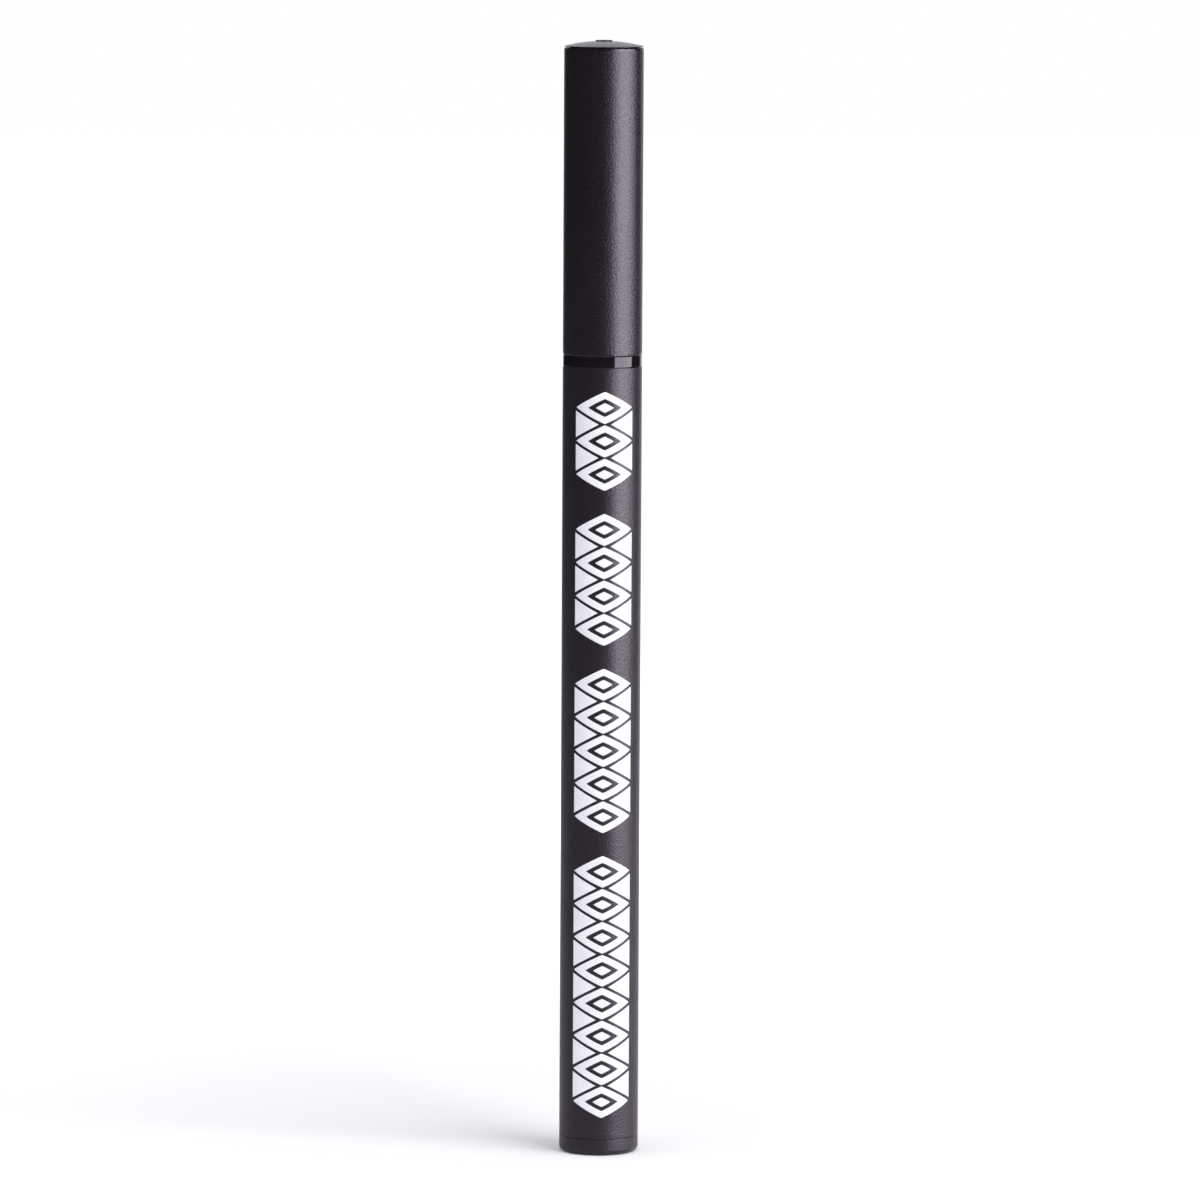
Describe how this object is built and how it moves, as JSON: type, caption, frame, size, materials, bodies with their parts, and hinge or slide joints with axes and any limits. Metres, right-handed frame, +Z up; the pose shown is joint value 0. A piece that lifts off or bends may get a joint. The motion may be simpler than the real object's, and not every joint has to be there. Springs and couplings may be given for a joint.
{
  "type": "liquid eyeliner pen",
  "caption": "Slim round matt black liquid eyeliner pen stood on its tail plug: snap cap with a sprung inner cap over a felt nib, finned collector, tank and mixing ball.",
  "frame": {"origin": "centre of the foot of the tail plug, on the surface that the pen stands on", "axes": "+Z up the pen, from the tail plug to the crown of the cap; -Y faces the camera of the picture, and +X is on its right"},
  "size_m": [0.0098, 0.0098, 0.138],
  "materials": {
    "barrel_matt": "matt black, fine soft texture",
    "cap_matt": "matt black, fine soft texture",
    "gloss_black": "gloss black",
    "natural_plastic": "unpigmented, slightly waxy",
    "collector_plastic": "off-white, as moulded",
    "seal_rubber": "dark grey silicone",
    "spring_steel": "bright drawn wire",
    "ball_steel": "ground and polished",
    "wick_fibre": "bonded polyester fibre",
    "nib_felt": "felt, stained black by the liquid",
    "white_print": "screen-printed white ink"
  },
  "bodies": {
    "pen": {"barrel": "barrel_matt", "tail_plug": "barrel_matt", "tail_seal_ring": "seal_rubber", "collector": "collector_plastic", "relay_wick": "wick_fibre", "wick_pipe": "natural_plastic", "front_section": "gloss_black", "neck_seal_ring": "seal_rubber", "nib": "nib_felt"},
    "cap": {"cap_sleeve": "cap_matt", "cap_crown": "cap_matt", "inner_cap_spring": "spring_steel"},
    "sealing_cup": {"inner_cap": "natural_plastic"},
    "ball": {"mixing_ball": "ball_steel"}
  },
  "joints": [
    {"name": "cap_pull", "type": "slide", "parent": "pen", "child": "cap", "axis": [0, 0, 1], "range_m": [0, 0.045]},
    {"name": "inner_cap_press", "type": "slide", "parent": "cap", "child": "sealing_cup", "axis": [0, 0, 1], "range_m": [0, 0.0015], "stiffness_N_per_m": 72, "springref_m": -0.006, "deforming": ["inner_cap_spring"]},
    {"name": "mixing_ball_slide", "type": "slide", "parent": "pen", "child": "ball", "axis": [0, 0, 1], "range_m": [0, 0.0525]}
  ]
}
